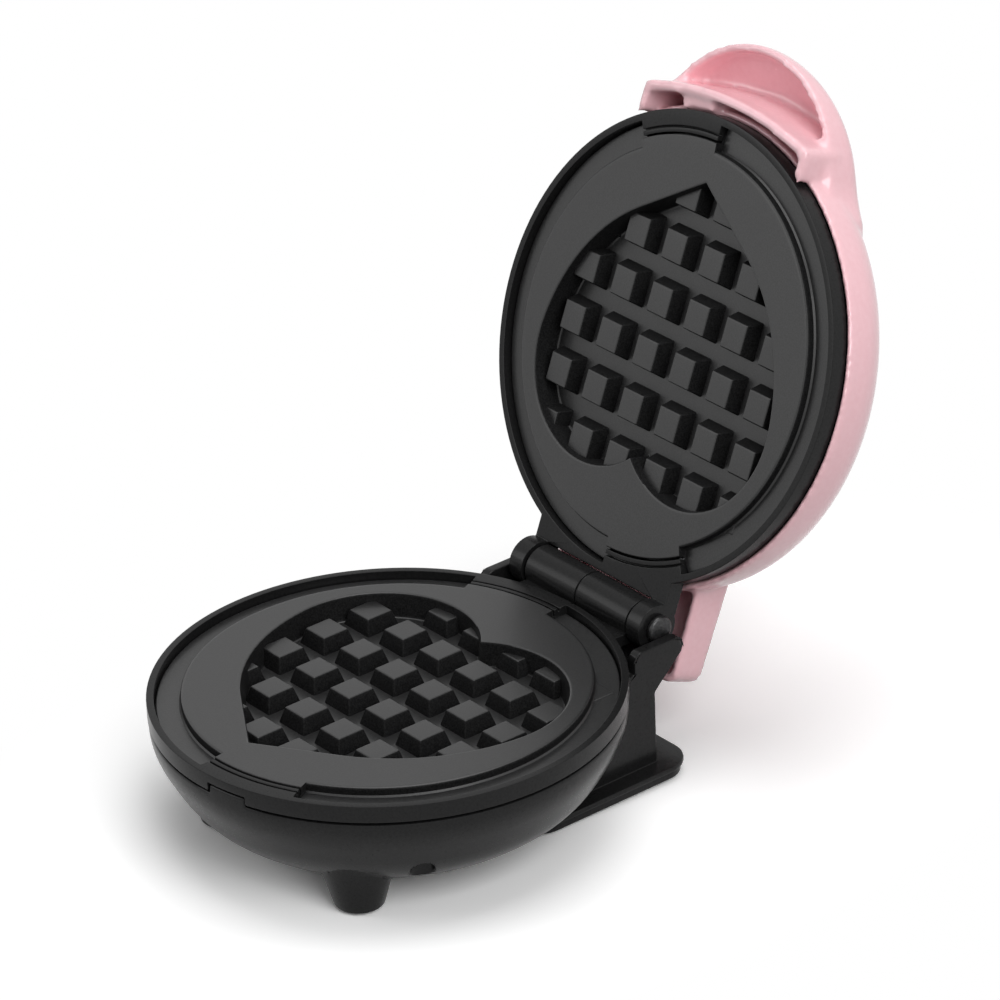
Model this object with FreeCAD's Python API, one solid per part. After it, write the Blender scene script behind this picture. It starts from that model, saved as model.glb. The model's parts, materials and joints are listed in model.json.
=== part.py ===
import FreeCAD, Part
import math
import os
from FreeCAD import Vector

# A small waffle maker with a heart-shaped recess in each plate and one hinged lid.
# Lengths are millimetres, angles are degrees. The pieces are built with the lid closed, around the
# centre of the lower cooking face: +X to the right, +Y to the hinge, +Z up. At the end the lid is
# turned open and the whole object is moved so that it stands on z = 0, centred over its own box.

# Cooking plates
cooking_radius = 50.8
plate_gap = 1.0
trough_width = 6.2
trough_depth = 2.4
flange_thickness = 1.4
face_round = 0.7
heart_tip_share = 0.8366
heart_notch_share = 0.5768
heart_half_width_share = 0.8425
heart_wide_share = 0.1575
heart_straight_shares = (0.47, 0.70)
heart_side_shares = (0.836, 0.318)
heart_lobe_shares = (0.74, 1.075)
recess_depth = 6.4
recess_draft = 0.8
pan_wall = 2.8
peg_pitch = 14.0
peg_top = 7.6
peg_foot = 10.4
peg_drop = 2.2
lower_row_place = 8.2
upper_row_place = 4.0

# Flush pads that bridge the trough at the front and at the rear of each plate
pad_starts = (270.0, 90.0)
pad_sweep = 29.0
pad_reach = 2.1
pad_line = 0.5
pad_rib = 1.2

# Carrier rings
fit_gap = 0.3
rim_width = 1.9
rim_drop = 0.2
skirt_height = 4.5
ledge_width = 4.7
spigot_wall = 1.8
spigot_depth = 4.7
spigot_clearance = 0.6
parting_gap = 0.7
tab_width = 11.3
tab_height = 2.2
tab_turn = 10.6
lid_tab_reach = 2.1
lid_tab_set_back = 0.8

# Hinge
hinge_gap = 0.5
lid_open_angle = 112.0
barrel_radius = 5.6
barrel_length = 39.0
barrel_seam = 0.5
barrel_seam_depth = 0.5
ear_gap = 0.8
ear_thickness = 4.9
ear_radius = 6.1
pin_radius = 2.5
pin_head_radius = 3.6
pin_head_height = 1.6
pin_depth = 9.0
pin_clearance = 0.05
deck_thickness = 3.2
heel_length = 5.0
stop_gap = 0.3

# Base shell
shell_wall = 2.2
bowl_depth = 24.6
bowl_flat_share = 0.678
bowl_lip = 1.0
bowl_shares = ((0.858, 0.377), (0.505, 0.788), (0.30, 0.919))
ground_room = 8.0
leg_place_shares = (0.456, -0.542)
leg_top_radius = 10.4
leg_foot_radius = 6.2
leg_root = 8.0
column_set_back = 5.3
column_length = 38.0
cheek_gap = 0.3
cheek_wall = 3.0
cheek_ahead = 11.7
cheek_behind = 5.1
cheek_drop = 0.8
cheek_round = 2.5
cheek_neck = 13.5
cheek_lip = 4.4
cheek_lip_lean = 1.5
well_drop = 7.8
flange_side = 4.8
flange_ahead = 6.0
flange_behind = 8.8
flange_corner = 8.0
flange_height = 1.6
stand_inset = 0.8
stand_height = 2.2
foot_height = 0.8
foot_radius = 4.6
foot_sink = 1.2
rear_foot_inset = 8.5

# Lid cover
cover_wall = 2.0
cover_lip = 1.4
cover_lap = 1.2
cover_band = 4.5
cover_height_above_rim = 25.6
cover_flat_share = 0.149
cover_shares = ((0.955, 0.345), (0.80, 0.64), (0.52, 0.875), (0.24, 0.977))
tongue_radius = 33.4
tongue_set_back = 14.6
tongue_underside = 9.5
tongue_edge = 3.4
tongue_round = 4.6
tongue_flare = 18.0
tongue_sink = 1.0
tongue_arch = 65.0
tongue_shares = ((0.93, 0.27), (0.86, 0.45), (0.77, 0.615), (0.64, 0.78), (0.51, 0.89), (0.38, 0.957))
visor_width_share = 0.91
visor_ahead = 5.6
visor_side_ahead = 1.0
visor_wall = 2.4
visor_drop = 0.7
visor_clearance = 0.7
tail_half_width = 26.0
tail_behind = 15.2
tail_rim = 10.6
tail_top = 22.0
tail_fall = 1.6
tail_corner = 4.0

# Heating parts
heater_share = 0.61
heater_tube = 3.2
heater_sink = 1.4
heater_gap_angle = 50.0
heater_leg = 7.0
heater_pin = 1.4
heater_pin_length = 5.0
post_radius = 4.0
post_share = 0.807
post_length = 12.6
sensor_boss_radius = 8.0
sensor_boss_length = 3.8
reflector_sheet = 0.7
reflector_rim_width = 5.3
reflector_slope = 4.4
reflector_hole_gap = 1.0
thermostat_radius = 7.0
thermostat_height = 6.0
thermostat_cap_radius = 5.2
thermostat_cap_height = 2.6
fuse_radius = 2.0
fuse_length = 11.0
fuse_place = 10.0
terminal_length = 24.0
terminal_width = 12.0
terminal_height = 9.0
terminal_place = -18.0
terminal_way = 1.6
lead_radius = 1.0
lead_tail = 15.0

# Fasteners
screw_radius = 1.5
screw_head_radius = 2.8
screw_head_height = 1.6
screw_clearance = 0.05
boss_radius = 3.6
boss_room = 2.6
boss_length = 8.5
boss_angles = (-30.0, 64.0, 116.0, 210.0)
post_count = 3
screw_grip = 5.0
screw_seat = 3.0
stand_screw_side = 9.2
stand_screw_room = 3.4
stand_boss_radius = 4.2

# Cord inlet and indicator
lead_port_radius = 3.6
gland_bore = 3.4
gland_radius = 5.0
gland_flange_radius = 6.6
gland_flange = 1.8
gland_lip = 0.8
gland_lift = 6.5
lens_radius = 3.4
lens_flange_radius = 4.6
lens_flange = 1.0
lens_share = 0.4455
lens_crown = 1.0
lamp_radius = 2.2
lamp_length = 8.0

# One overrun serves every cut that has to pass a face.
overrun = 1.0

# Levels, radii and places that follow from the sizes above
UP = Vector(0, 0, 1)
heart_tip = cooking_radius * heart_tip_share
heart_notch = cooking_radius * heart_notch_share
heart_half_width = cooking_radius * heart_half_width_share
heart_wide_place = cooking_radius * heart_wide_share
heater_radius = cooking_radius * heater_share
post_circle = cooking_radius * post_share
flange_radius = cooking_radius + trough_width
rim_inner_radius = flange_radius + fit_gap
ring_radius = rim_inner_radius + rim_width
flange_low = -trough_depth - flange_thickness
skirt_low = -rim_drop - skirt_height
bowl_rim = skirt_low - parting_gap
bowl_low = bowl_rim - bowl_depth
ground_drop = ground_room - bowl_low
spigot_low = skirt_low - spigot_depth
pan_low = -recess_depth - pan_wall
post_low = flange_low - post_length
hinge_height = plate_gap / 2
hinge_reach = ring_radius + hinge_gap + barrel_radius
barrel_half = barrel_length / 2
ear_inner = barrel_half + ear_gap
ear_outer = ear_inner + ear_thickness
cheek_inner = ear_outer + fit_gap + pin_head_height + cheek_gap
cheek_front = hinge_reach - cheek_ahead
cheek_rear = hinge_reach + cheek_behind
column_half_width = cheek_inner + cheek_wall
column_rear = hinge_reach - column_set_back
column_front = column_rear - column_length
flange_half_width = column_half_width + flange_side
flange_front = column_front - flange_ahead
flange_rear = column_rear + flange_behind
well_floor = hinge_height - well_drop
stand_low = -ground_drop + foot_height
flange_under = stand_low + stand_height
flange_top = flange_under + flange_height
bowl_rim_radius = ring_radius - rim_drop
bowl_flat_radius = bowl_rim_radius * bowl_flat_share
leg_place_x, leg_place_y = [bowl_rim_radius * share for share in leg_place_shares]
boss_circle = bowl_rim_radius - shell_wall - boss_radius - boss_room
gland_level = bowl_low + gland_lift
spigot_radius = bowl_rim_radius - shell_wall - spigot_clearance
ledge_inner_radius = rim_inner_radius - ledge_width - fit_gap
heater_level = pan_low + heater_sink - heater_tube
cover_rim = plate_gap - bowl_rim
cover_top = cover_rim + cover_height_above_rim
cover_radius = ring_radius + cover_lip
cover_flat_radius = cover_radius * cover_flat_share
lens_place = -cover_radius * lens_share
tongue_centre = ring_radius - tongue_set_back
visor_half_width = tongue_radius * visor_width_share
visor_reach = ring_radius + visor_ahead
visor_side_reach = ring_radius + visor_side_ahead
tail_reach = hinge_reach + tail_behind


def block(x_low, x_high, y_low, y_high, z_low, z_high):
    """A box between two corners."""
    size = Vector(x_high - x_low, y_high - y_low, z_high - z_low)
    return Part.makeBox(size.x, size.y, size.z, Vector(x_low, y_low, z_low))


def drum(radius, z_low, z_high, x=0.0, y=0.0):
    """An upright cylinder between two levels."""
    return Part.makeCylinder(radius, z_high - z_low, Vector(x, y, z_low), UP)


def cone(low_radius, high_radius, z_low, z_high, x=0.0, y=0.0):
    """An upright cone between two levels."""
    return Part.makeCone(low_radius, high_radius, z_high - z_low, Vector(x, y, z_low), UP)


def rod(radius, x_low, x_high, y, z):
    """A cylinder along X."""
    return Part.makeCylinder(radius, x_high - x_low, Vector(x_low, y, z), Vector(1, 0, 0))


def turned_profile(points):
    """A solid of revolution about Z from corner points (radius, height)."""
    corners = [Vector(radius, 0, height) for radius, height in points]
    wire = Part.makePolygon(corners + corners[:1])
    return Part.Face(wire).revolve(Vector(0, 0, 0), UP, 360)


def revolved(edges, centre=Vector(0, 0, 0)):
    """A solid of revolution about an upright axis from edges in the XZ plane."""
    return Part.Face(Part.Wire(edges)).revolve(centre, UP, 360)


def line(start, end):
    return Part.makeLine(start, end)


def arc(start, middle, end):
    return Part.Arc(start, middle, end).toShape()


def smooth_curve(points, start_direction, end_direction):
    """A smooth curve through points, with its directions at both ends."""
    curve = Part.BSplineCurve()
    curve.interpolate(Points=points, InitialTangent=start_direction, FinalTangent=end_direction)
    return curve.toShape()


def side_prism(points, x_low, x_high):
    """A prism along X from corner points (y, z)."""
    corners = [Vector(x_low, y, z) for y, z in points]
    face = Part.Face(Part.makePolygon(corners + corners[:1]))
    return face.extrude(Vector(x_high - x_low, 0, 0))


def rounded_slab(half_width, y_low, y_high, corner, z_low, z_high):
    """A slab with four rounded upright corners."""
    slab = block(-half_width, half_width, y_low, y_high, z_low, z_high)
    upright = [edge for edge in slab.Edges if edge.BoundBox.ZLength > (z_high - z_low) / 2]
    return slab.makeFillet(corner, upright)


def sector(inner, outer, z_low, z_high, start, sweep):
    """Part of a ring, from a start angle over a sweep."""
    pie = Part.makeCylinder(outer, z_high - z_low, Vector(0, 0, z_low), UP, sweep)
    pie.rotate(Vector(0, 0, 0), UP, start)
    return pie.cut(drum(inner, z_low - overrun, z_high + overrun))


def around(radius, count, first):
    """Points spread evenly on a circle."""
    step = 360.0 / count
    angles = [math.radians(first + step * index) for index in range(count)]
    return [(radius * math.cos(angle), radius * math.sin(angle)) for angle in angles]


def joined(first, *others):
    return first.fuse(list(others)).removeSplitter()


def turned_over(shape):
    """A lower piece becomes an upper one when it is turned over about Y, midway between the plates."""
    copy = shape.copy()
    copy.rotate(Vector(0, 0, plate_gap / 2), Vector(0, 1, 0), 180)
    return copy


def both_sides(shape):
    """The shape and its mirror image across the middle plane."""
    return [shape, shape.mirror(Vector(0, 0, 0), Vector(1, 0, 0))]


# Plates

def heart_wire(grow, level):
    """The heart outline at a level, its tip to the front, grown outwards by a margin."""
    scale = 1 + grow / heart_half_width
    tip = Vector(0, -heart_tip, 0)
    notch = Vector(0, heart_notch, 0)
    wide = Vector(heart_half_width, heart_wide_place, 0)

    def shared(shares, length):
        return Vector(shares[0] * heart_half_width, shares[1] * length, 0)

    straight = shared(heart_straight_shares, -heart_tip)
    side = shared(heart_side_shares, -heart_tip)
    lobe = shared(heart_lobe_shares, heart_notch)

    def place(point, mirror):
        return Vector(mirror * point.x * scale, point.y * scale, level)

    edges = []
    for mirror in (1, -1):
        half = [
            line(place(tip, mirror), place(straight, mirror)),
            arc(place(straight, mirror), place(side, mirror), place(wide, mirror)),
            arc(place(wide, mirror), place(lobe, mirror), place(notch, mirror)),
        ]
        edges += half if mirror > 0 else half[::-1]
    return Part.Wire(edges)


def heart_prism(low_grow, high_grow, z_low, z_high):
    """A heart-shaped block whose walls may lean."""
    return Part.makeLoft([heart_wire(low_grow, z_low), heart_wire(high_grow, z_high)], True, True)


def peg(x, y):
    """One drafted peg, standing on the recess floor."""
    def square(side, level):
        half = side / 2
        corners = [Vector(x - half, y - half, level), Vector(x + half, y - half, level),
                   Vector(x + half, y + half, level), Vector(x - half, y + half, level)]
        return Part.makePolygon(corners + corners[:1])

    return Part.makeLoft([square(peg_foot, -recess_depth), square(peg_top, -peg_drop)], True, True)


def pegs(row_place):
    """The grid of pegs, symmetric from left to right, that reaches over the whole heart."""
    columns = range(-math.ceil(heart_half_width / peg_pitch), math.ceil(heart_half_width / peg_pitch))
    first_row = -math.ceil((heart_tip + row_place) / peg_pitch)
    last_row = math.ceil((heart_half_width - row_place) / peg_pitch)
    return [peg((column + 0.5) * peg_pitch, row_place + row * peg_pitch)
            for column in columns for row in range(first_row, last_row + 1)]


def plate(row_place):
    """A cast plate: flat cooking face, trough, flange, heart recess with pegs, and the back's details."""
    face_edge = cooking_radius - face_round
    round_middle = face_round * (1 - math.sqrt(0.5))
    outline = [
        line(Vector(0, 0, 0), Vector(face_edge, 0, 0)),
        arc(Vector(face_edge, 0, 0), Vector(cooking_radius - round_middle, 0, -round_middle),
            Vector(cooking_radius, 0, -face_round)),
        line(Vector(cooking_radius, 0, -face_round), Vector(cooking_radius, 0, -trough_depth)),
        line(Vector(cooking_radius, 0, -trough_depth), Vector(flange_radius, 0, -trough_depth)),
        line(Vector(flange_radius, 0, -trough_depth), Vector(flange_radius, 0, flange_low)),
        line(Vector(flange_radius, 0, flange_low), Vector(0, 0, flange_low)),
        line(Vector(0, 0, flange_low), Vector(0, 0, 0)),
    ]
    body = revolved(outline)
    pad_radius = cooking_radius + pad_reach
    for start in pad_starts:
        room = sector(pad_radius, flange_radius + overrun, flange_low - overrun, overrun, start, pad_sweep)
        body = body.cut(room)
        body = body.fuse(sector(face_edge - face_round, pad_radius, flange_low, 0, start, pad_sweep))
    pan = heart_prism(pan_wall, pan_wall, pan_low, flange_low + overrun / 2)
    sensor_boss = drum(sensor_boss_radius, pan_low - sensor_boss_length, flange_low)
    posts = [drum(post_radius, post_low, flange_low + overrun / 2, x, y)
             for x, y in around(post_circle, post_count, 90)]
    body = joined(body, pan, sensor_boss, *posts)
    floor_slope = recess_draft / recess_depth
    recess = heart_prism(-recess_draft, floor_slope * overrun, -recess_depth, overrun)
    body = body.cut(recess.cut(pegs(row_place)))
    groove = Part.makeTorus(heater_radius, heater_tube + screw_clearance, Vector(0, 0, heater_level), UP)
    holes = [drum(screw_radius + screw_clearance, post_low - overrun, post_low + screw_grip, x, y)
             for x, y in around(post_circle, post_count, 90)]
    return body.cut([groove] + holes)


def heater():
    """A sheathed element: an open ring with two legs at the rear, each ending in a pin."""
    sweep = 360 - heater_gap_angle
    start = 90 + heater_gap_angle / 2
    ring = Part.makeTorus(heater_radius, heater_tube, Vector(0, 0, 0), UP, -180, 180, sweep)
    ring.rotate(Vector(0, 0, 0), UP, start)
    ring.translate(Vector(0, 0, heater_level))
    leg_low = heater_level - heater_leg
    pieces = [ring]
    for x, y in heater_ends():
        pieces.append(Part.makeSphere(heater_tube, Vector(x, y, heater_level)))
        pieces.append(drum(heater_tube, leg_low, heater_level, x, y))
        pieces.append(drum(heater_pin, leg_low - heater_pin_length, leg_low, x, y))
    return joined(*pieces)


def heater_ends():
    """The two ends of the element, right one first."""
    half = math.radians(heater_gap_angle / 2)
    x = heater_radius * math.sin(half)
    y = heater_radius * math.cos(half)
    return [(x, y), (-x, y)]


def reflector(middle_hole):
    """A pressed sheet dish that hangs on the plate's posts and clamps the carrier's spigot."""
    rim_outer = spigot_radius - fit_gap
    rim_inner = rim_outer - reflector_rim_width
    flat_radius = rim_inner - reflector_slope
    rim_under = spigot_low - reflector_sheet
    flat_under = post_low - reflector_sheet
    lean = reflector_sheet / 2
    dish = turned_profile([
        (0, post_low), (flat_radius, post_low), (rim_inner, spigot_low), (rim_outer, spigot_low),
        (rim_outer, rim_under), (rim_inner + lean, rim_under),
        (flat_radius + lean, flat_under), (0, flat_under)])
    low = flat_under - overrun
    high = spigot_low + overrun
    cuts = [drum(heater_tube + reflector_hole_gap, low, high, x, y) for x, y in heater_ends()]
    cuts += [drum(screw_radius + fit_gap, low, high, x, y) for x, y in around(post_circle, post_count, 90)]
    cuts += [drum(boss_radius + reflector_hole_gap, low, high, x, y) for x, y in boss_places()]
    if middle_hole:
        cuts.append(drum(thermostat_radius + reflector_hole_gap, low, high))
    return dish.cut(cuts)


def boss_places():
    turns = [math.radians(angle) for angle in boss_angles]
    return [(boss_circle * math.cos(turn), boss_circle * math.sin(turn)) for turn in turns]


def plate_screws():
    """Screws that pull the reflector against the plate's posts."""
    seat = post_low - reflector_sheet
    screws = []
    for x, y in around(post_circle, post_count, 90):
        head = drum(screw_head_radius, seat - screw_head_height, seat, x, y)
        shank = drum(screw_radius, seat, post_low + screw_grip, x, y)
        screws.append(joined(head, shank))
    return Part.makeCompound(screws)


# Carriers

def carrier_ring():
    """The ring that holds a plate: rim, skirt, ledge, spigot, bosses and the two trough pads."""
    spigot_inner = spigot_radius - spigot_wall
    ring = turned_profile([
        (ring_radius, -rim_drop), (ring_radius, skirt_low), (spigot_radius, skirt_low),
        (spigot_radius, spigot_low), (spigot_inner, spigot_low), (spigot_inner, skirt_low),
        (ledge_inner_radius, skirt_low), (ledge_inner_radius, flange_low),
        (rim_inner_radius, flange_low), (rim_inner_radius, -rim_drop)])
    rib_inner = cooking_radius + pad_reach + pad_line
    line_inner = rib_inner + pad_rib
    side_gap = math.degrees(fit_gap / ring_radius)
    additions = [drum(boss_radius, skirt_low - boss_length, flange_low - fit_gap, x, y)
                 for x, y in boss_places()]
    lines = []
    for start in pad_starts:
        pad = sector(rib_inner, rim_inner_radius + rim_width / 2, flange_low, -rim_drop,
                     start + side_gap, pad_sweep - 2 * side_gap)
        additions.append(pad)
        lines.append(sector(line_inner, line_inner + pad_line, -rim_drop - 2 * pad_line, overrun,
                            start, pad_sweep))
    ring = joined(ring, *additions).cut(lines)
    notch_turn = math.degrees((tab_width / 2 + parting_gap / 2) / ring_radius)
    notch = sector(ring_radius - rim_width / 2 - fit_gap, ring_radius + overrun, skirt_low - overrun,
                   skirt_low + tab_height, 270 + tab_turn - notch_turn, 2 * notch_turn)
    return ring.cut(notch)


def tab():
    """The tab on a shell's rim that sits in the notch of the carrier's skirt."""
    half_turn = math.degrees(tab_width / 2 / ring_radius)
    return sector(ring_radius - rim_width / 2, bowl_rim_radius, bowl_rim - bowl_lip,
                  skirt_low + tab_height - parting_gap, 270 + tab_turn - half_turn, 2 * half_turn)


def base_carrier():
    """The lower ring with its rear deck, which carries the hinge barrel."""
    deck = block(-barrel_half, barrel_half, ring_radius / 2, hinge_reach,
                 skirt_low, skirt_low + deck_thickness)
    deck = deck.cut(drum(ring_radius - rim_width / 2, skirt_low - overrun, overrun))
    barrel = rod(barrel_radius, -barrel_half, barrel_half, hinge_reach, hinge_height)
    body = joined(carrier_ring(), deck, barrel)
    seam = rod(barrel_radius + overrun, -barrel_seam / 2, barrel_seam / 2, hinge_reach, hinge_height)
    core = rod(barrel_radius - barrel_seam_depth, -barrel_seam, barrel_seam, hinge_reach, hinge_height)
    bore = rod(pin_radius, -barrel_length, barrel_length, hinge_reach, hinge_height)
    holes = [drum(screw_radius + screw_clearance, skirt_low - boss_length - overrun,
                  skirt_low - boss_length + screw_grip, x, y) for x, y in boss_places()]
    return body.cut([seam.cut(core), bore] + holes)


def lid_carrier():
    """The upper ring with a rear deck and two ears, turned open, with the heels that stop the lid."""
    ring = turned_over(carrier_ring())
    holes = []
    for x, y in boss_places():
        top = flange_low - fit_gap
        head = drum(screw_head_radius + fit_gap, top - screw_head_height, overrun, x, y)
        shank = drum(screw_radius + fit_gap, skirt_low - boss_length - overrun, top, x, y)
        holes += [turned_over(head.common(drum(ring_radius, top - screw_head_height, top + fit_gap))),
                  turned_over(shank)]
    deck_low = plate_gap + rim_drop
    deck_high = plate_gap - skirt_low
    deck_rear = hinge_reach - barrel_radius - fit_gap
    deck = block(-ear_outer, ear_outer, ring_radius / 2, deck_rear, deck_low, deck_high)
    arms = [block(ear_inner, ear_outer, ring_radius / 2, hinge_reach, deck_low, deck_high)]
    discs = [rod(ear_radius, ear_inner, ear_outer, hinge_reach, hinge_height)]
    inside = drum(ring_radius - rim_width / 2, deck_low - overrun, deck_high + overrun)
    rear = [deck] + both_sides(arms[0])
    body = joined(ring.cut(holes), *[piece.cut(inside) for piece in rear], *both_sides(discs[0]))
    bores = both_sides(rod(pin_radius + pin_clearance, ear_inner - overrun, ear_outer + overrun,
                           hinge_reach, hinge_height))
    heel = block(ear_inner, ear_outer, hinge_reach - 2 * stop_gap, hinge_reach + heel_length,
                 well_floor + stop_gap, hinge_height)
    return joined(opened(body), *both_sides(heel)).cut(bores)


def opened(shape):
    """A lid piece turned from closed to open about the hinge."""
    copy = shape.copy()
    copy.rotate(Vector(0, hinge_reach, hinge_height), Vector(1, 0, 0), -lid_open_angle)
    return copy


def hinge_pins():
    """Two headed pins, pressed into the barrel, that the lid's ears turn on."""
    shank = rod(pin_radius, barrel_half - pin_depth, ear_outer + fit_gap, hinge_reach, hinge_height)
    head = rod(pin_head_radius, ear_outer + fit_gap, ear_outer + fit_gap + pin_head_height,
               hinge_reach, hinge_height)
    crown = [edge for edge in head.Edges if edge.BoundBox.XMin > ear_outer + fit_gap + pin_head_height / 2]
    head = head.makeFillet(pin_head_height / 2, crown)
    return Part.makeCompound(both_sides(joined(shank, head)))


# Base shell

def bowl(inset):
    """The space inside the bowl's outer face, or inside its inner face when inset by the wall."""
    rim = bowl_rim_radius - inset
    flat = bowl_flat_radius - inset / 2
    low = bowl_low + inset
    start = bowl_rim - bowl_lip
    points = [Vector(rim, 0, start)]
    for across, down in bowl_shares:
        points.append(Vector(flat + (rim - flat) * across, 0, start + (low - start) * down))
    points.append(Vector(flat, 0, low))
    curve = smooth_curve(points, -UP, Vector(-1, 0, 0))
    top = bowl_rim + inset
    edges = [curve, line(points[-1], Vector(0, 0, low)), line(Vector(0, 0, low), Vector(0, 0, top)),
             line(Vector(0, 0, top), Vector(rim, 0, top)), line(Vector(rim, 0, top), points[0])]
    return revolved(edges)


def column():
    """The rear column with its two cheeks, hollow from below."""
    lip_low = -cheek_drop - cheek_lip
    shelf = bowl_rim - bowl_lip
    outline = [
        (column_front, flange_under), (column_rear, flange_under), (column_rear, -cheek_neck),
        (cheek_rear - cheek_lip_lean, lip_low), (cheek_rear, -cheek_drop), (cheek_front, -cheek_drop),
        (cheek_front, shelf), (column_front, shelf)]
    body = side_prism(outline, -column_half_width, column_half_width)
    top_edges = [edge for edge in body.Edges if edge.BoundBox.XLength > column_half_width
                 and edge.BoundBox.ZMin > -cheek_drop - cheek_round / 2]
    body = body.makeFillet(cheek_round, top_edges)
    well = block(-cheek_inner, cheek_inner, column_front - overrun, cheek_rear + overrun,
                 well_floor, overrun)
    hollow_half = column_half_width - shell_wall
    hollow = block(-hollow_half, hollow_half, column_front + shell_wall, column_rear - shell_wall,
                   flange_under - overrun, well_floor - shell_wall)
    return body.cut([well, hollow])


def base_shell():
    """Bowl, front legs, rear column and foot flange as one moulding."""
    inside = bowl(shell_wall)
    leg_high = bowl_low + leg_root
    legs = []
    recesses = []
    for x in (leg_place_x, -leg_place_x):
        legs.append(cone(leg_foot_radius, leg_top_radius, stand_low, leg_high, x, leg_place_y))
        recesses.append(drum(foot_radius, stand_low - overrun, stand_low + foot_sink, x, leg_place_y))
    flange = rounded_slab(flange_half_width, flange_front, flange_rear, flange_corner,
                          flange_under, flange_top)
    hollow_half = column_half_width - shell_wall
    opening = block(-hollow_half, hollow_half, column_front + shell_wall, column_rear - shell_wall,
                    flange_under - overrun, flange_top + overrun)
    outside = [column().cut(inside), flange.cut(opening)] + [leg.cut(inside) for leg in legs]
    outer = bowl(0)
    body = joined(outer.cut(inside), tab(), *outside)
    boss_low = skirt_low - boss_length
    posts = [drum(boss_radius, bowl_low, boss_low, x, y).common(outer) for x, y in boss_places()]
    stand_bosses = [drum(stand_boss_radius, flange_under, bowl_low + shell_wall / 2, x, y)
                    for x, y in stand_screw_places()]
    body = joined(body, *posts, *stand_bosses)
    seat = boss_low - screw_seat
    cuts = list(recesses)
    for x, y in boss_places():
        cuts.append(drum(screw_head_radius + fit_gap, bowl_low - overrun, seat, x, y))
        cuts.append(drum(screw_radius + fit_gap, seat - overrun, boss_low + overrun, x, y))
    for x, y in stand_screw_places():
        cuts.append(drum(screw_radius + screw_clearance, flange_under - overrun,
                         flange_under + screw_grip, x, y))
    port_end = column_rear - 2 * shell_wall
    cuts.append(tunnel(lead_port_radius, bowl_flat_radius, port_end))
    cuts.append(tunnel(gland_radius, port_end, column_rear + overrun))
    return body.cut(cuts)


def tunnel(radius, y_low, y_high):
    """A cylinder along Y at the level of the cord inlet."""
    return Part.makeCylinder(radius, y_high - y_low, Vector(0, y_low, gland_level), Vector(0, 1, 0))


def stand_screw_places():
    """Four places inside the column, two against its front wall and two against its rear wall."""
    x = column_half_width - shell_wall - stand_screw_side
    front = column_front + shell_wall + stand_screw_room
    rear = column_rear - shell_wall - stand_screw_room
    return [(x, front), (x, rear), (-x, front), (-x, rear)]


def stand_cover():
    """The plate that closes the column from below, a little smaller than the flange."""
    slab = rounded_slab(flange_half_width - stand_inset, flange_front + stand_inset,
                        flange_rear - stand_inset, flange_corner - stand_inset, stand_low, flange_under)
    cuts = []
    for x, y in rear_foot_places():
        cuts.append(drum(foot_radius, stand_low - overrun, stand_low + foot_sink, x, y))
    for x, y in stand_screw_places():
        cuts.append(drum(screw_head_radius + fit_gap, stand_low - overrun,
                         stand_low + stand_height / 2, x, y))
        cuts.append(drum(screw_radius + fit_gap, stand_low, flange_under + overrun, x, y))
    return slab.cut(cuts)


def stand_cover_screws():
    seat = stand_low + stand_height / 2
    screws = []
    for x, y in stand_screw_places():
        head = drum(screw_head_radius, stand_low + fit_gap / 2, seat, x, y)
        screws.append(joined(head, drum(screw_radius, seat, flange_under + screw_grip, x, y)))
    return Part.makeCompound(screws)


def rear_foot_places():
    x = flange_half_width - rear_foot_inset
    return [(x, flange_rear - rear_foot_inset), (-x, flange_rear - rear_foot_inset)]


def foot_pads(places):
    """Rubber pads let into the underside."""
    return Part.makeCompound([drum(foot_radius - screw_clearance, -ground_drop, stand_low + foot_sink, x, y)
                              for x, y in places])


def base_screws():
    """Screws that come up through the bowl into the carrier's bosses."""
    boss_low = skirt_low - boss_length
    seat = boss_low - screw_seat
    screws = []
    for x, y in boss_places():
        head = drum(screw_head_radius, seat - screw_head_height, seat, x, y)
        screws.append(joined(head, drum(screw_radius, seat, boss_low + screw_grip, x, y)))
    return Part.makeCompound(screws)


# Lid cover

def dome(inset):
    """The space inside the dome's outer face, or inside its inner face when inset by the wall."""
    radius = cover_radius - inset
    spring = cover_rim + cover_band
    low = cover_rim - cover_lap - inset
    top = cover_top - inset
    points = [Vector(radius, 0, spring)]
    for across, rise in cover_shares:
        points.append(Vector(cover_flat_radius + (radius - cover_flat_radius) * across, 0,
                             spring + (top - spring) * rise))
    points.append(Vector(cover_flat_radius, 0, top))
    curve = smooth_curve(points, UP, Vector(-1, 0, 0))
    edges = [line(Vector(0, 0, low), Vector(radius, 0, low)), line(Vector(radius, 0, low), points[0]),
             curve, line(points[-1], Vector(0, 0, top)), line(Vector(0, 0, top), Vector(0, 0, low))]
    return revolved(edges)


def tongue_plan(inset, level):
    """The tongue from above: a round front and, on each side, a hollow curve that runs into the dome."""
    front = tongue_radius - inset
    flare = tongue_flare + inset
    rim = cover_radius - tongue_sink - inset
    near = front + flare
    far = rim + flare
    y = -(far ** 2 - near ** 2 + tongue_centre ** 2) / (2 * tongue_centre)
    x = math.sqrt(far ** 2 - y ** 2)
    flare_centre = Vector(x, y, level)
    start = Vector(0, -tongue_centre, level) + Vector(x, y + tongue_centre, 0) * (front / near)
    end = Vector(x * rim / far, y * rim / far, level)
    middle = flare_centre + ((start + end) * 0.5 - flare_centre).normalize() * flare
    rear = Vector(end.x, -cover_flat_radius, level)

    def left(point):
        return Vector(-point.x, point.y, level)

    tip = Vector(0, -tongue_centre - front, level)
    return Part.Face(Part.Wire([
        arc(left(start), tip, start), arc(start, middle, end), line(end, rear), line(rear, left(rear)),
        line(left(rear), left(end)), arc(left(end), left(middle), left(start))]))


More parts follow.
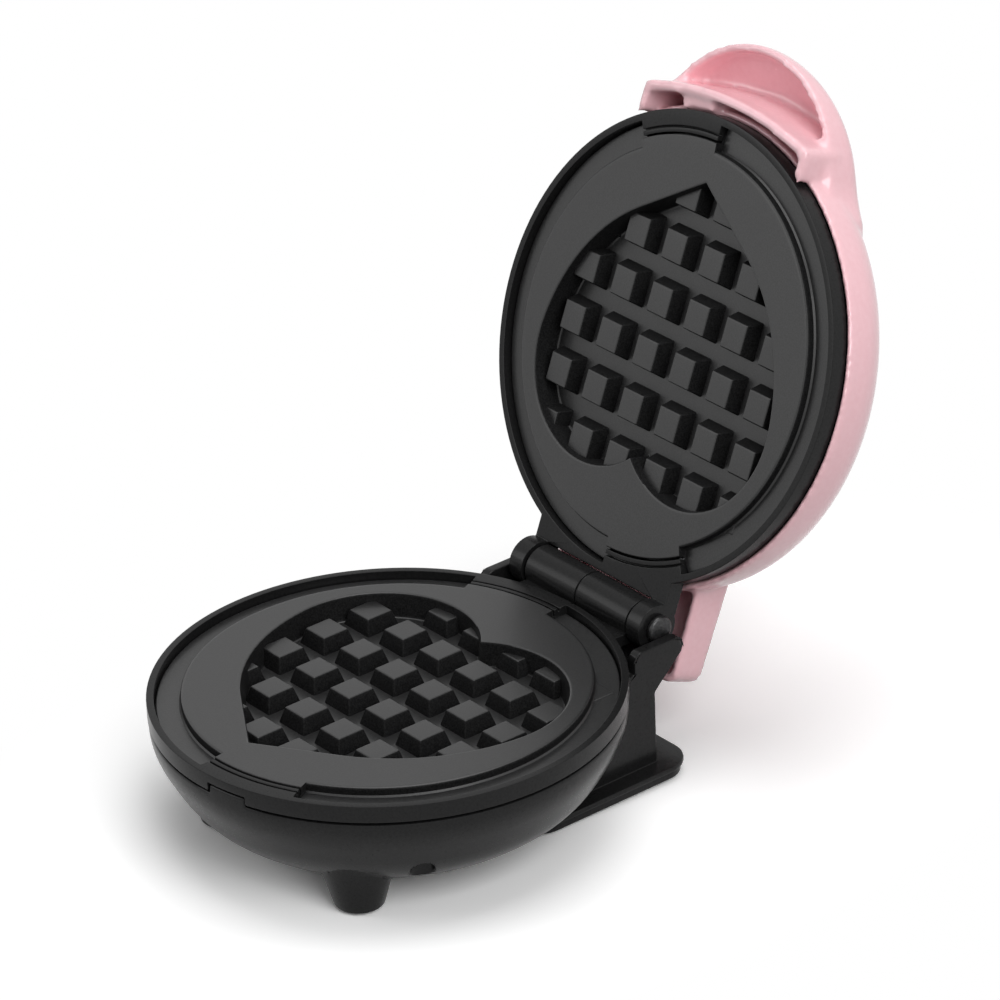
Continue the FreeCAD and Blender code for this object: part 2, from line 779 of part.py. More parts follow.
def tongue_crown(inset):
    """What lies under the tongue's crown: a curve from the tip up to the dome, turned about a low axis."""
    tip = tongue_centre + tongue_radius + overrun
    low = tongue_underside + tongue_edge - inset
    top = cover_top - tongue_sink - inset
    points = [Vector(0, -tip, low)]
    for across, rise in tongue_shares:
        points.append(Vector(0, -tip * across, low + (top - low) * rise))
    points.append(Vector(0, -cover_flat_radius, top))
    curve = smooth_curve(points, Vector(0, 1, 1), Vector(0, 1, 0))
    axis = Vector(0, 0, -tongue_arch)
    feet = [Vector(0, point.y, axis.z) for point in (points[-1], points[0])]
    outline = [curve, line(points[-1], feet[0]), line(feet[0], feet[1]), line(feet[1], points[0])]
    section = Part.Face(Part.Wire(outline))
    section.rotate(axis, Vector(0, 1, 0), 180)
    return section.revolve(axis, Vector(0, 1, 0), 360)


def tongue(inset):
    """The hood at the front, which grows out of the dome and whose hollow underside is the finger grip."""
    low = tongue_underside - inset
    body = tongue_plan(inset, low).extrude(Vector(0, 0, 2 * cover_top)).common(tongue_crown(inset))
    rim = []
    for edge in body.Edges:
        middle = edge.valueAt((edge.FirstParameter + edge.LastParameter) / 2)
        level = middle.z > tongue_underside + overrun and edge.BoundBox.YLength > overrun
        if level and middle.y < -tongue_centre:
            rim.append(edge)
    return body.makeFillet(tongue_round - inset / 2, rim)


def visor(inset, z_low, z_high):
    """The upright block behind the visor's front face."""
    half = visor_half_width - inset
    side = -visor_side_reach + inset
    corners = [Vector(x, y, z_low) for x, y in ((-half, 0), (-half, side), (half, side), (half, 0))]
    front = arc(corners[1], Vector(0, -visor_reach + inset, z_low), corners[2])
    edges = [line(corners[0], corners[1]), front, line(corners[2], corners[3]), line(corners[3], corners[0])]
    return Part.Face(Part.Wire(edges)).extrude(Vector(0, 0, z_high - z_low))


def lid_tab():
    """The tab behind the visor that marks how the lid's carrier goes in."""
    half_turn = math.degrees(tab_width / 2 / ring_radius)
    inner = ring_radius + fit_gap
    return sector(inner, inner + lid_tab_reach, plate_gap + rim_drop + lid_tab_set_back,
                  cover_rim + cover_band, 270 - tab_turn - half_turn, 2 * half_turn)


def tail(inset):
    """The rear channel over the hinge, or the space in it when inset by the wall."""
    half = tail_half_width - inset
    rear = tail_reach - inset
    low = tail_rim - inset
    front = ring_radius / 2
    outline = [(front, low), (rear, low), (rear, tail_top - tail_fall - inset), (front, tail_top - inset)]
    body = side_prism(outline, -half, half)
    corners = [edge for edge in body.Edges if edge.BoundBox.YMin > front + overrun
               and edge.BoundBox.ZMin > low - overrun and edge.BoundBox.ZLength > overrun]
    return body.makeFillet(tail_corner - inset, corners)


def lid_cover():
    """The coloured lid: dome, visor, finger tongue and rear tail in one thin moulding."""
    outer_dome = dome(0)
    under = visor_drop - overrun
    high = cover_top + overrun
    side = 2 * cover_radius
    behind = block(-side, side, -ring_radius / 2, side, under, high)
    ring_room = drum(ring_radius + visor_clearance, under, cover_rim)
    front = visor(0, visor_drop, tongue_underside + tongue_edge).cut([ring_room, behind])
    outer = joined(outer_dome, tongue(0), front, tail(0))
    ahead = block(-side, side, -2 * side, -visor_side_reach, under, high)
    grip = tongue(cover_wall).cut(visor(0, under, high)).common(ahead)
    hollow = visor(visor_wall, under, tongue_underside)
    hollow = hollow.fuse(tongue(cover_wall).common(visor(visor_wall, under, high)))
    pocket = hollow.cut(outer_dome)
    channel = tail(cover_wall).cut(outer_dome)
    lap_room = drum(ring_radius + fit_gap, under, cover_rim)
    rear_half = ear_outer + fit_gap
    rear_room = block(-rear_half, rear_half, 0, tail_reach + overrun, under, cover_rim)
    cover = outer.cut([dome(cover_wall), grip, pocket, channel, lap_room, rear_room])
    boss_high = plate_gap - skirt_low + boss_length
    posts = [drum(boss_radius, boss_high, cover_top, x, y).common(outer_dome) for x, y in boss_places()]
    cover = joined(cover, turned_over(tab()), lid_tab().cut(dome(cover_wall)), *posts)
    cuts = [drum(screw_radius + screw_clearance, boss_high - overrun, boss_high + screw_grip, x, y)
            for x, y in boss_places()]
    cuts.append(drum(lens_radius + screw_clearance, cover_rim, high, 0, lens_place))
    return cover.cut(cuts)


def lid_screws():
    """Screws from the plate's side through the carrier's bosses into the cover."""
    top = flange_low - fit_gap - screw_clearance
    low = flange_low - fit_gap - screw_head_height
    end = skirt_low - boss_length - screw_grip
    screws = []
    for x, y in boss_places():
        head = drum(screw_head_radius, low, top, x, y)
        screws.append(turned_over(joined(head, drum(screw_radius, end, low, x, y))))
    return Part.makeCompound(screws)


# Electrical parts

def thermostat():
    """A disc thermostat against the boss in the middle of the plate's back."""
    top = pan_low - sensor_boss_length
    body = drum(thermostat_radius, top - thermostat_height, top)
    cap_low = top - thermostat_height - thermostat_cap_height
    return joined(body, drum(thermostat_cap_radius, cap_low, top - thermostat_height))


def terminal_block():
    floor = bowl_low + shell_wall
    half = terminal_length / 2
    body = block(-half, half, terminal_place - terminal_width / 2, terminal_place + terminal_width / 2,
                 floor, floor + terminal_height)
    return body


def lead(points):
    """A wire along straight runs with a round bend at each corner."""
    bend = 4 * lead_radius
    edges = []
    begin = points[0]
    for corner, after in zip(points[1:-1], points[2:]):
        arrive = (corner - begin).normalize()
        leave = (after - corner).normalize()
        first = corner - arrive * bend
        last = corner + leave * bend
        middle = corner + (leave - arrive) * (bend * (1 - math.sqrt(0.5)))
        edges += [line(begin, first), arc(first, middle, last)]
        begin = last
    edges.append(line(begin, points[-1]))
    start = edges[0].valueAt(edges[0].FirstParameter)
    direction = edges[0].tangentAt(edges[0].FirstParameter)
    circle = Part.Wire(Part.makeCircle(lead_radius, start, direction))
    return Part.Wire(edges).makePipeShell([circle], True, False)


def base_wiring():
    """Supply leads to the terminal block, and the leads to the element and the thermostat."""
    block_rear = terminal_place + terminal_width / 2
    leads = [lead([Vector(x, column_rear - shell_wall, gland_level), Vector(x, block_rear, gland_level)])
             for x in (terminal_way, -terminal_way)]
    level = heater_level - heater_leg - heater_pin_length / 2
    side = terminal_length / 2
    (right_x, end_y), (left_x, _) = heater_ends()
    aside = max(side, right_x) + heater_tube + 4 * lead_radius
    touch = heater_pin + screw_clearance
    leads.append(lead([Vector(side, terminal_place, level), Vector(aside, terminal_place, level),
                       Vector(aside, end_y, level), Vector(right_x + touch, end_y, level)]))
    cap = thermostat_cap_radius + screw_clearance
    leads.append(lead([Vector(-side, terminal_place, level), Vector(-aside, terminal_place, level),
                       Vector(-aside, 0, level), Vector(-cap, 0, level)]))
    leads.append(lead([Vector(0, cap, level), Vector(0, end_y, level),
                       Vector(left_x + touch, end_y, level)]))
    return Part.makeCompound(leads)


def thermal_fuse():
    """A tubular fuse that lies on the lid's reflector."""
    level = post_low - reflector_sheet - fuse_radius - screw_clearance
    return turned_over(rod(fuse_radius, -fuse_length / 2, fuse_length / 2, -fuse_place, level))


def lid_wiring():
    """The lead from the fuse to the element, and the one from the element towards the hinge."""
    level = post_low - reflector_sheet - fuse_radius - screw_clearance
    (right_x, end_y), (left_x, _) = heater_ends()
    touch = heater_pin + screw_clearance
    aside = right_x + heater_tube + 4 * lead_radius
    first = lead([Vector(fuse_length / 2, -fuse_place, level), Vector(aside, -fuse_place, level),
                  Vector(aside, end_y, level), Vector(right_x + touch, end_y, level)])
    second = lead([Vector(left_x, end_y + touch, level), Vector(left_x, end_y + lead_tail, level)])
    return Part.makeCompound([turned_over(first), turned_over(second)])


def cord_gland():
    """The bush in the column's rear wall where a supply cord would enter."""
    inner_face = column_rear - shell_wall
    body = joined(tunnel(gland_radius - screw_clearance, inner_face - gland_lip, column_rear),
                  tunnel(gland_flange_radius, column_rear, column_rear + gland_flange))
    return body.cut(tunnel(gland_bore, inner_face - gland_flange, column_rear + 2 * gland_flange))


def lens_surface(y):
    """Height of the dome's inner face at a place on its middle line."""
    column = Part.makeLine(Vector(0, y, cover_rim + cover_band), Vector(0, y, cover_top))
    return column.common(dome(cover_wall)).BoundBox.ZMax


def indicator_lens():
    """A round lens in the dome, with a flange under the wall."""
    outer_edge = lens_place - lens_flange_radius
    seat = lens_surface(outer_edge) - screw_clearance
    top = lens_surface(lens_place) + cover_wall + lens_crown
    flange = drum(lens_flange_radius, seat - lens_flange, seat, 0, lens_place)
    stem = drum(lens_radius, seat, top, 0, lens_place)
    rim = [edge for edge in stem.Edges if edge.BoundBox.ZMin > top - lens_crown / 2]
    return joined(flange, stem.makeFillet(lens_crown, rim))


def indicator_lamp():
    outer_edge = lens_place - lens_flange_radius
    top = lens_surface(outer_edge) - screw_clearance - lens_flange
    bulb = drum(lamp_radius, top - lamp_length, top, 0, lens_place)
    tip = [edge for edge in bulb.Edges if edge.BoundBox.ZMax < top - lamp_length / 2]
    return bulb.makeFillet(lamp_radius / 2, tip)


# Assembly

base_pieces = {
    "base_shell": base_shell(),
    "base_carrier": base_carrier(),
    "lower_plate": plate(lower_row_place),
    "lower_heater": heater(),
    "lower_reflector": reflector(True),
    "lower_plate_screws": plate_screws(),
    "thermostat": thermostat(),
    "terminal_block": terminal_block(),
    "base_wiring": base_wiring(),
    "base_screws": base_screws(),
    "hinge_pins": hinge_pins(),
    "stand_cover": stand_cover(),
    "stand_cover_screws": stand_cover_screws(),
    "front_foot_pads": foot_pads([(leg_place_x, leg_place_y), (-leg_place_x, leg_place_y)]),
    "rear_foot_pads": foot_pads(rear_foot_places()),
    "cord_gland": cord_gland(),
}
lid_pieces = {
    "lid_cover": opened(lid_cover()),
    "lid_carrier": lid_carrier(),
    "upper_plate": opened(turned_over(plate(upper_row_place))),
    "upper_heater": opened(turned_over(heater())),
    "upper_reflector": opened(turned_over(reflector(False))),
    "upper_plate_screws": opened(turned_over(plate_screws())),
    "thermal_fuse": opened(thermal_fuse()),
    "lid_wiring": opened(lid_wiring()),
    "lid_screws": opened(lid_screws()),
    "indicator_lens": opened(indicator_lens()),
    "indicator_lamp": opened(indicator_lamp()),
}
pieces = {**base_pieces, **lid_pieces}

box = Part.makeCompound(list(pieces.values())).BoundBox
to_ground = Vector(-box.Center.x, -box.Center.y, -box.ZMin)
os.makedirs("parts", exist_ok=True)
for name, shape in pieces.items():
    shape.translate(to_ground)
    shape.exportStep("parts/" + name + ".step")
    print(name, "solids", len(shape.Solids), "valid", shape.isValid(), "volume", round(shape.Volume))
print("size", round(box.XLength, 2), round(box.YLength, 2), round(box.ZLength, 2))
print("shift", [round(value, 4) for value in to_ground])
hinge = Vector(0, hinge_reach, hinge_height) + to_ground
print("hinge", [round(value, 4) for value in hinge])
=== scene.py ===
# %% [markdown]
# # A heart waffle maker
# The CAD model gives every piece its place and its motion. This lesson dresses it: rounded edges that
# catch the light, a non-stick coat with a fine sparkle, satin black plastic and a glossy pink lid.
# The first cell loads the imported model.

# %% Load the imported model
import json
import math
from itertools import product

import bmesh
import bpy
from mathutils import Matrix, Vector


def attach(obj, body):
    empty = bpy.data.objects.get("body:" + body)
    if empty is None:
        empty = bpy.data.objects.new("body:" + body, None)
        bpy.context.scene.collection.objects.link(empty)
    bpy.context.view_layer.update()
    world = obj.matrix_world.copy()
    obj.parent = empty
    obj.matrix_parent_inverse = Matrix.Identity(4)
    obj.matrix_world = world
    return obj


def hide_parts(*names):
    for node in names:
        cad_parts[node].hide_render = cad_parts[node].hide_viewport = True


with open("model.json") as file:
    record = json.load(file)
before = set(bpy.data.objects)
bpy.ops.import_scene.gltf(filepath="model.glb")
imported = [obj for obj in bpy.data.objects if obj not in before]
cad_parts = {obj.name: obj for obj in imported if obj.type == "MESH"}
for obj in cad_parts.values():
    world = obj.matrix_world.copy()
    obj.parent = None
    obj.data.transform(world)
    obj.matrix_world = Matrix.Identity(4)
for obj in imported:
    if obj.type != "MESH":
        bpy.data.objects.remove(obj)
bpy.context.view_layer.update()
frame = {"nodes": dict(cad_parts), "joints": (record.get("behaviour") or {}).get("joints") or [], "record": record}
nodes = frame["nodes"]

# %% [markdown]
# ## Places
# The sizes of the pieces are millimetres around the centre of the lower cooking face, with the lid
# closed, and so is the point that the camera looks at. Its distance, the floor and the lights are metres.
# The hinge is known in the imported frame, so it carries the sizes over. An upper piece is a lower one
# turned over about Y, and then turned open about the hinge.

# %% From the plate to the frame
MM = 0.001
HINGE_REACH = 65.3
HINGE_HEIGHT = 0.5
joint = frame["joints"][0]
hinge = Vector(joint["pos_m"])
plate_centre = hinge - Vector((0, HINGE_REACH, HINGE_HEIGHT)) * MM


def about(point, turn):
    """A turn about a point."""
    return Matrix.Translation(point) @ turn @ Matrix.Translation(-point)


lower_place = Matrix.Translation(plate_centre) @ Matrix.Scale(MM, 4)
turn_over = about(Vector((0, 0, HINGE_HEIGHT)), Matrix.Rotation(math.pi, 4, "Y"))
open_turn = Matrix.Rotation(-math.radians(joint["range_deg"][1]), 4, "X")
lid_place = lower_place @ about(Vector((0, HINGE_REACH, HINGE_HEIGHT)), open_turn)
upper_place = lid_place @ turn_over
print("plate centre", [round(value, 4) for value in plate_centre])

# %% [markdown]
# ## Camera
# The picture was taken with a long lens from the front right, a little from above. The angles come from
# the round plates, which show as ellipses, and from the legs and the hinge.

# %% Camera
VIEW_AZIMUTH = math.radians(51.835)
VIEW_ELEVATION = math.radians(27.83)
VIEW_ROLL = math.radians(-2.423)
VIEW_DISTANCE = 1.439
VIEW_TARGET = Vector((0.93, 36.71, 37.48))
LENS = 211.28
VIEW_FAR = 20

forward = Vector((-math.sin(VIEW_AZIMUTH) * math.cos(VIEW_ELEVATION),
                  math.cos(VIEW_AZIMUTH) * math.cos(VIEW_ELEVATION), -math.sin(VIEW_ELEVATION)))
level_right = Vector((math.cos(VIEW_AZIMUTH), math.sin(VIEW_AZIMUTH), 0))
level_up = level_right.cross(forward)
right = level_right * math.cos(VIEW_ROLL) + level_up * math.sin(VIEW_ROLL)
up = level_up * math.cos(VIEW_ROLL) - level_right * math.sin(VIEW_ROLL)
eye = lower_place @ VIEW_TARGET - forward * VIEW_DISTANCE

camera_data = bpy.data.cameras.new("camera")
camera_data.lens = LENS
camera_data.clip_end = VIEW_FAR
camera = bpy.data.objects.new("camera", camera_data)
camera.matrix_world = Matrix((right, up, -forward)).transposed().to_4x4()
camera.matrix_world.translation = eye
bpy.context.scene.collection.objects.link(camera)
bpy.context.scene.camera = camera
print("camera at", [round(value, 3) for value in eye])

# %% [markdown]
# ## Floor and light
# The object stands on a white sweep under three soft lights. The camera sees the floor as bright white
# paper, which takes the shadow near the object and turns to plain white further out. Plain light sees it
# as grey, so that it doesn't light the object from below. The world is white for the camera and for
# reflections, and weaker as a light. A small helper adds each node with its values and links, so that a
# tree reads as a list of steps.

# %% A white floor
FLOOR_SIZE = 4.0
FLOOR_WHITE = 1.28
FLOOR_GREY = 0.3
SHADOW_REACH = (0.064, 0.108)
SHADOW_SHAPE = (1.0, 0.6, 1.0)


def fed(tree, node, values):
    """A node with its inputs set, by place or by name. A value that is an output is linked."""
    for key, value in values.items() if isinstance(values, dict) else enumerate(values):
        if isinstance(value, bpy.types.NodeSocket):
            tree.links.new(value, node.inputs[key])
        elif value is not None:
            node.inputs[key].default_value = value
    return node


def node_in(tree, kind, values=(), **settings):
    """A new node with its settings and its inputs."""
    made = tree.nodes.new(kind)
    for name, setting in settings.items():
        setattr(made, name, setting)
    return fed(tree, made, values)


def cleared_tree(block):
    """The emptied node tree of a material or a world."""
    block.use_nodes = True
    block.node_tree.nodes.clear()
    return block.node_tree


def see_rays(tree):
    """A factor that is 1 for the camera, mirrors and glass, and 0 for plain light."""
    path = node_in(tree, "ShaderNodeLightPath").outputs
    seen = path["Is Camera Ray"]
    for ray in ("Is Glossy Ray", "Is Transmission Ray"):
        seen = node_in(tree, "ShaderNodeMath", (seen, path[ray]), operation="MAXIMUM").outputs[0]
    return seen


half = FLOOR_SIZE / 2
floor_mesh = bpy.data.meshes.new("floor")
floor_corners = [(-half, -half, 0), (half, -half, 0), (half, half, 0), (-half, half, 0)]
floor_mesh.from_pydata(floor_corners, [], [(0, 1, 2, 3)])
floor = bpy.data.objects.new("floor", floor_mesh)
bpy.context.scene.collection.objects.link(floor)
floor_finish = bpy.data.materials.new("white_sweep")
tree = cleared_tree(floor_finish)
seen = see_rays(tree)
tone = node_in(tree, "ShaderNodeMapRange", {"Value": seen, "To Min": FLOOR_GREY, "To Max": FLOOR_WHITE})
matt = node_in(tree, "ShaderNodeBsdfDiffuse", (tone.outputs["Result"],))
place = node_in(tree, "ShaderNodeTexCoord").outputs["Object"]
shape = node_in(tree, "ShaderNodeVectorMath", (place, SHADOW_SHAPE), operation="MULTIPLY")
apart = node_in(tree, "ShaderNodeVectorMath", (shape.outputs[0],), operation="LENGTH").outputs["Value"]
fade = node_in(tree, "ShaderNodeMapRange", {
    "Value": apart, "From Min": SHADOW_REACH[0], "From Max": SHADOW_REACH[1],
}, interpolation_type="SMOOTHSTEP")
share = node_in(tree, "ShaderNodeMath", (seen, fade.outputs["Result"]), operation="MULTIPLY")
glow = node_in(tree, "ShaderNodeEmission")
blend = node_in(tree, "ShaderNodeMixShader", (share.outputs[0], matt.outputs[0], glow.outputs[0]))
node_in(tree, "ShaderNodeOutputMaterial", (blend.outputs[0],))
floor_mesh.materials.append(floor_finish)
print("floor", FLOOR_SIZE, "m")

# %% A white world
WORLD_LIGHT = 0.28
WHITE = (1, 1, 1, 1)

world = bpy.data.worlds.new("studio")
bpy.context.scene.world = world
tree = cleared_tree(world)
plain = node_in(tree, "ShaderNodeBackground", {"Strength": WORLD_LIGHT})
white = node_in(tree, "ShaderNodeBackground", {"Color": WHITE})
mix = node_in(tree, "ShaderNodeMixShader", (see_rays(tree), plain.outputs[0], white.outputs[0]))
node_in(tree, "ShaderNodeOutputWorld", (mix.outputs[0],))
bpy.context.scene.view_settings.view_transform = "Standard"
print("world light", WORLD_LIGHT)

# %% Soft lights
# Each light has a place, a size and a power.
LIGHTS = {
    "top_softbox": ((0.0, 0.1, 1.4), 1.0, 8.8),
    "front_left_softbox": ((-0.9, -1.2, 0.8), 0.9, 5.0),
    "right_softbox": ((1.25, -0.25, 1.0), 1.0, 14.5),
}
LIGHT_AIM = Vector((0, 0, 0.06))

for name, (place, size, power) in LIGHTS.items():
    data = bpy.data.lights.new(name, "AREA")
    data.size = size
    data.energy = power
    light = bpy.data.objects.new(name, data)
    light.location = place
    light.rotation_euler = (LIGHT_AIM - Vector(place)).to_track_quat("-Z", "Y").to_euler()
    bpy.context.scene.collection.objects.link(light)
print("lights", list(LIGHTS))

# %% [markdown]
# ## Finishes
# Every finish starts from one Principled shader. A fine noise on Object coordinates drives its colour,
# its roughness and a small bump, because no real surface is perfectly even. The scale of that noise is
# what tells a cast, coated plate from moulded plastic or rubber. The steep flanks of the plates get a copy
# of the plate's finish with almost no gloss: painted shade, which makes them darker than the flat faces.

# %% A finish with grain
GRAIN_DETAIL = 4.0
GRAIN_SPREAD = (0.35, 0.68)
GRAIN_RELIEF = 0.1
COAT_ROUGHNESS = 0.2
COOL_TINT = 1.02
finishes = {}


def finish(name, colours, roughness, grain, bump, metallic=0.0, coat=0.0, specular=0.5):
    """A material whose colour and roughness vary between two values with a noise of grain per metre."""
    made = bpy.data.materials.new(name)
    made.use_nodes = True
    tree = made.node_tree
    place = node_in(tree, "ShaderNodeTexCoord").outputs["Object"]
    noise = node_in(tree, "ShaderNodeTexNoise", {
        "Vector": place, "Scale": grain, "Detail": GRAIN_DETAIL}).outputs["Fac"]
    ramp = node_in(tree, "ShaderNodeValToRGB", (noise,))
    for element, position, colour in zip(ramp.color_ramp.elements, GRAIN_SPREAD, colours):
        element.position = position
        element.color = (*colour, 1)
    spread = node_in(tree, "ShaderNodeMapRange", {
        "Value": noise, "To Min": roughness[0], "To Max": roughness[1]})
    relief = node_in(tree, "ShaderNodeBump", {
        "Strength": bump, "Distance": GRAIN_RELIEF * MM, "Height": noise})
    fed(tree, tree.nodes["Principled BSDF"], {
        "Base Color": ramp.outputs["Color"], "Roughness": spread.outputs["Result"],
        "Normal": relief.outputs["Normal"], "Metallic": metallic, "Specular IOR Level": specular,
        "Coat Weight": coat, "Coat Roughness": COAT_ROUGHNESS})
    finishes[name] = made


def grey(value):
    """A grey with a trace of blue."""
    return (value, value, value * COOL_TINT)


def greys(dark, light):
    return grey(dark), grey(light)


plate_coat = dict(colours=greys(0.006, 0.018), roughness=(0.36, 0.5), grain=2600, bump=0.22)
finish("coated_plate", **plate_coat, coat=0.25, specular=0.34)
# A copy of the plate's finish with almost no gloss: painted shade for the steep flanks, so they render darker.
finish("plate_flank_painted_shade", **plate_coat, coat=0.02, specular=0.03)
finish("black_plastic", greys(0.008, 0.013), roughness=(0.24, 0.34), grain=1800, bump=0.08, coat=0.3,
       specular=0.03)
finish("pink_plastic", ((0.89, 0.53, 0.575), (0.91, 0.56, 0.605)), roughness=(0.2, 0.3), grain=700,
       bump=0.03, coat=0.5)
finish("white_plastic", greys(0.72, 0.8), roughness=(0.4, 0.5), grain=1200, bump=0.1)
finish("rubber", greys(0.014, 0.026), roughness=(0.65, 0.85), grain=1700, bump=0.35)
print("finishes", sorted(finishes))

# %% Finishes of metal, leads and lamp, and a finish for every node
finish("dark_steel", greys(0.03, 0.06), roughness=(0.3, 0.45), grain=1500, bump=0.1, metallic=0.8)
finish("steel", greys(0.5, 0.62), roughness=(0.25, 0.4), grain=1500, bump=0.1, metallic=1.0)
finish("sheet", greys(0.7, 0.8), roughness=(0.25, 0.4), grain=900, bump=0.08, metallic=1.0)
finish("lead_cover", ((0.68, 0.66, 0.6), (0.74, 0.72, 0.66)), roughness=(0.5, 0.65), grain=1500, bump=0.15)
finish("lens", ((0.8, 0.22, 0.17), (0.86, 0.28, 0.22)), roughness=(0.06, 0.12), grain=300, bump=0.02,
       coat=0.5)
finish("lamp_glass", ((0.9, 0.6, 0.4), (0.92, 0.64, 0.45)), roughness=(0.05, 0.1), grain=300, bump=0.02)
record = frame["record"]
slot_of = {entry["node"]: entry["material_slot"] for entry in record["subparts"]}
body_of = {node: body for body, group in record["behaviour"]["bodies"].items() for node in group}
for name, node in nodes.items():
    node.data.materials.clear()
    node.data.materials.append(finishes[slot_of[name]])
print("finishes", sorted(finishes))

# %% [markdown]
# ## Rounded copies of the moulded pieces
# A real moulding has no knife edges: a small round on each edge catches a thin line of light. Each
# listed CAD node is copied, its loose triangles are joined and its flat faces made whole, and a Bevel
# rounds every sharp edge.

# %% Copy and join
FLAT = math.radians(0.2)
JOIN = 0.002


def merged_copy(node):
    """A copy of a CAD node as joined faces."""
    shape = bmesh.new()
    shape.from_mesh(nodes[node].data)
    bmesh.ops.remove_doubles(shape, verts=shape.verts, dist=JOIN * MM)
    bmesh.ops.dissolve_limit(shape, angle_limit=FLAT, verts=shape.verts, edges=shape.edges)
    bmesh.ops.connect_verts_concave(shape, faces=shape.faces)
    mesh = bpy.data.meshes.new(node + "_copy")
    shape.to_mesh(mesh)
    shape.free()
    return mesh


def settled(piece):
    """Turns a piece with modifiers into a plain mesh."""
    evaluated = piece.evaluated_get(bpy.context.evaluated_depsgraph_get())
    mesh = bpy.data.meshes.new_from_object(evaluated)
    piece.modifiers.clear()
    piece.data = mesh
    return piece


def added(name, mesh):
    """A new object with a mesh, in the scene."""
    piece = bpy.data.objects.new(name, mesh)
    bpy.context.scene.collection.objects.link(piece)
    return piece


def carried(piece, node):
    """The piece rides with the node's body, wears its finish and stands for it."""
    piece.data.materials.clear()
    piece.data.materials.append(finishes[slot_of[node]])
    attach(piece, body_of[node])
    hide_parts(node)
    return piece


print("nodes that can be copied", len(slot_of))

# %% Round the edges
SHARP = math.radians(32)
ROUND_STEPS = 2
ROUNDS = {
    "base_shell": 0.5, "base_carrier": 0.22, "lid_carrier": 0.22, "stand_cover": 0.4,
    "hinge_pins": 0.2, "cord_gland": 0.3, "front_foot_pads": 0.3, "rear_foot_pads": 0.3,
}


def weighted(piece):
    """Smooth shading that keeps flat faces flat and sharp corners sharp."""
    piece.data.polygons.foreach_set("use_smooth", [True] * len(piece.data.polygons))
    piece.data.set_sharp_from_angle(angle=SHARP)
    weights = piece.modifiers.new("weights", "WEIGHTED_NORMAL")
    weights.keep_sharp = True
    return settled(piece)


def rounded(node, width):
    """A copy of a CAD node with rounded edges, width in millimetres."""
    piece = added(node + "_round", merged_copy(node))
    bevel = piece.modifiers.new("round", "BEVEL")
    bevel.width = width * MM
    bevel.segments = ROUND_STEPS
    bevel.limit_method = "ANGLE"
    bevel.angle_limit = SHARP
    bevel.use_clamp_overlap = False
    bevel.miter_outer = "MITER_ARC"
    settled(piece)
    return carried(weighted(piece), node)


for node, width in ROUNDS.items():
    piece = rounded(node, width)
    print(piece.name, "faces", len(piece.data.polygons))

# %% [markdown]
# ## The lid's cover
# The cover is one glossy moulding: a dome, a hood for the fingers, a visor and a tail over the hinge. It
# would be injection moulded, so all its outer faces run into each other. An even skin of small quads is
# laid over the CAD shape and smoothed a little, which softens each edge. The crown, where the hood runs
# out into the dome, is smoothed more.

# %% An even skin
SKIN_GRAIN = 0.8
SKIN_PASSES = 11
SKIN_SOFTNESS = 0.5
CROWN_RADIUS = 30.0
CROWN_HEIGHT = 24.0
CROWN_PASSES = 90
LENS_PLACE = Vector((0, -27.0))
LENS_ROOM = 7.0


def on_crown(point):
    """Whether a point of the closed lid lies on the crown, clear of the lens."""
    flat = point.xy
    near = flat.length < CROWN_RADIUS and (flat - LENS_PLACE).length > LENS_ROOM
    return near and point.z > CROWN_HEIGHT


def skinned(node):
    """A copy of a CAD node as an even skin with softened edges and a smooth crown."""
    piece = added(node + "_skin", merged_copy(node))
    skin = piece.modifiers.new("skin", "REMESH")
    skin.mode = "VOXEL"
    skin.voxel_size = SKIN_GRAIN * MM
    settled(piece)
    to_lid = lid_place.inverted()
    crown = piece.vertex_groups.new(name="crown")
    top = [point.index for point in piece.data.vertices if on_crown(to_lid @ point.co)]
    crown.add(top, 1.0, "REPLACE")
    for passes, group in ((SKIN_PASSES, ""), (CROWN_PASSES, crown.name)):
        soft = piece.modifiers.new("soft", "SMOOTH")
        soft.factor = SKIN_SOFTNESS
        soft.iterations = passes
        soft.vertex_group = group
    settled(piece)
    piece.vertex_groups.clear()
    piece.data.polygons.foreach_set("use_smooth", [True] * len(piece.data.polygons))
    return carried(piece, node)


cover = skinned("lid_cover")
print(cover.name, "faces", len(cover.data.polygons))

# %% [markdown]
# ## Cooking plates
# Each plate is an aluminium casting: a flat face with a heart-shaped recess, a trough round the face and
# two flush pads that bridge the trough. A foundry would cast it in a steel die, so every edge has a small
# round and every wall leans. The mesh is built from closed loops: heart-shaped ones for the recess and
# round ones for the trough. The flat face is filled in between them. Steep faces get a duller copy of the
# finish, which paints shade on them.

# %% Sizes of the plates
COOKING_RADIUS = 50.8
FLANGE_RADIUS = 57.0
TROUGH_DEPTH = 2.4
FLANGE_LOW = -3.8
FACE_ROUND = 0.7
PAD_RADIUS = 52.9
PAD_STARTS = (270, 90)
PAD_SWEEP = 29
PAD_EDGE = 0.15
RECESS_DEPTH = 6.4
RECESS_DRAFT = 0.8
RECESS_ROUND = 0.6
FLOOR_ROUND = 0.8
PAN_WALL = 2.8
SUPPORT = 0.4
HEART_TIP = 0.8366 * COOKING_RADIUS
HEART_NOTCH = 0.5768 * COOKING_RADIUS
HEART_HALF_WIDTH = 0.8425 * COOKING_RADIUS
HEART_WIDE_PLACE = 0.1575 * COOKING_RADIUS
HEART_STRAIGHT_SHARES = (0.47, 0.70)
HEART_SIDE_SHARES = (0.836, 0.318)
HEART_LOBE_SHARES = (0.74, 1.075)
print("cooking face", 2 * COOKING_RADIUS, "mm across, heart", 2 * HEART_HALF_WIDTH, "mm wide")

# %% The heart's outline
STRAIGHT_POINTS = 8
SIDE_POINTS = 14
LOBE_POINTS = 30


